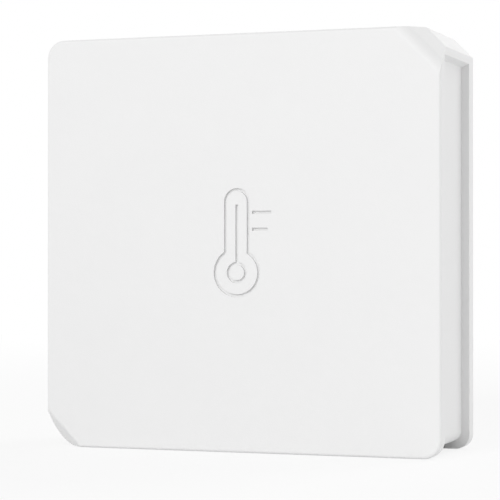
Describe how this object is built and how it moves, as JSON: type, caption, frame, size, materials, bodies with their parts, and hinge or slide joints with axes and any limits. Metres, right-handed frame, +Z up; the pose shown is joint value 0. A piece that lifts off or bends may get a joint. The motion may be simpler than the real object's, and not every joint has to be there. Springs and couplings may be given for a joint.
{
  "type": "temperature and humidity sensor",
  "caption": "Square white wireless temperature and humidity sensor with faceted corners, a shadow channel, an engraved thermometer icon and a snap-off rear cover over its coin cell.",
  "frame": {"origin": "middle of the footprint when the sensor stands on its lower edge: halfway along its width and its depth, at its lowest point", "axes": "+X to the right as seen from the front, +Y from the front face to the back, +Z up; the icon's face looks to -Y"},
  "size_m": [0.043, 0.014, 0.043],
  "materials": {
    "white_plastic": "fine matt moulded",
    "board_laminate": "satin solder mask",
    "holder_plastic": "matt moulded",
    "contact_metal": "satin",
    "cell_steel": "satin",
    "gasket": "matt",
    "cell_filling": "matt",
    "chip_plastic": "matt",
    "crystal_metal": "satin",
    "led_body": "matt",
    "led_resin": "gloss",
    "switch_plastic": "matt",
    "plunger_plastic": "matt",
    "capacitor_body": "satin",
    "resistor_body": "satin",
    "inductor_body": "satin",
    "copper": "satin under solder mask",
    "gold_plate": "satin"
  },
  "bodies": {
    "case": {"front_cover": "white_plastic", "circuit_board": "board_laminate", "battery_holder": "holder_plastic", "positive_contact": "contact_metal", "negative_contact": "contact_metal", "cell_can": "cell_steel", "cell_gasket": "gasket", "cell_cap": "cell_steel", "cell_core": "cell_filling", "radio_chip": "chip_plastic", "radio_crystal": "crystal_metal", "clock_crystal": "crystal_metal", "climate_sensor": "chip_plastic", "led_base": "led_body", "led_lens": "led_resin", "switch_base": "switch_plastic", "switch_shell": "cell_steel", "switch_dome": "contact_metal", "chip_capacitors": "capacitor_body", "chip_resistors": "resistor_body", "chip_inductors": "inductor_body", "antenna_trace": "copper", "test_pads": "gold_plate"},
    "rear_cover": {"rear_cover": "white_plastic"},
    "reset_plunger": {"switch_plunger": "plunger_plastic"}
  },
  "joints": [
    {"name": "rear_cover_pull", "type": "slide", "parent": "case", "child": "rear_cover", "axis": [0, 1, 0], "range_m": [0, 0.025]},
    {"name": "reset_press", "type": "slide", "parent": "case", "child": "reset_plunger", "axis": [1, 0, 0], "range_m": [0, 0.00025], "stiffness_N_per_m": 6400, "deforming": ["switch_dome"]}
  ]
}
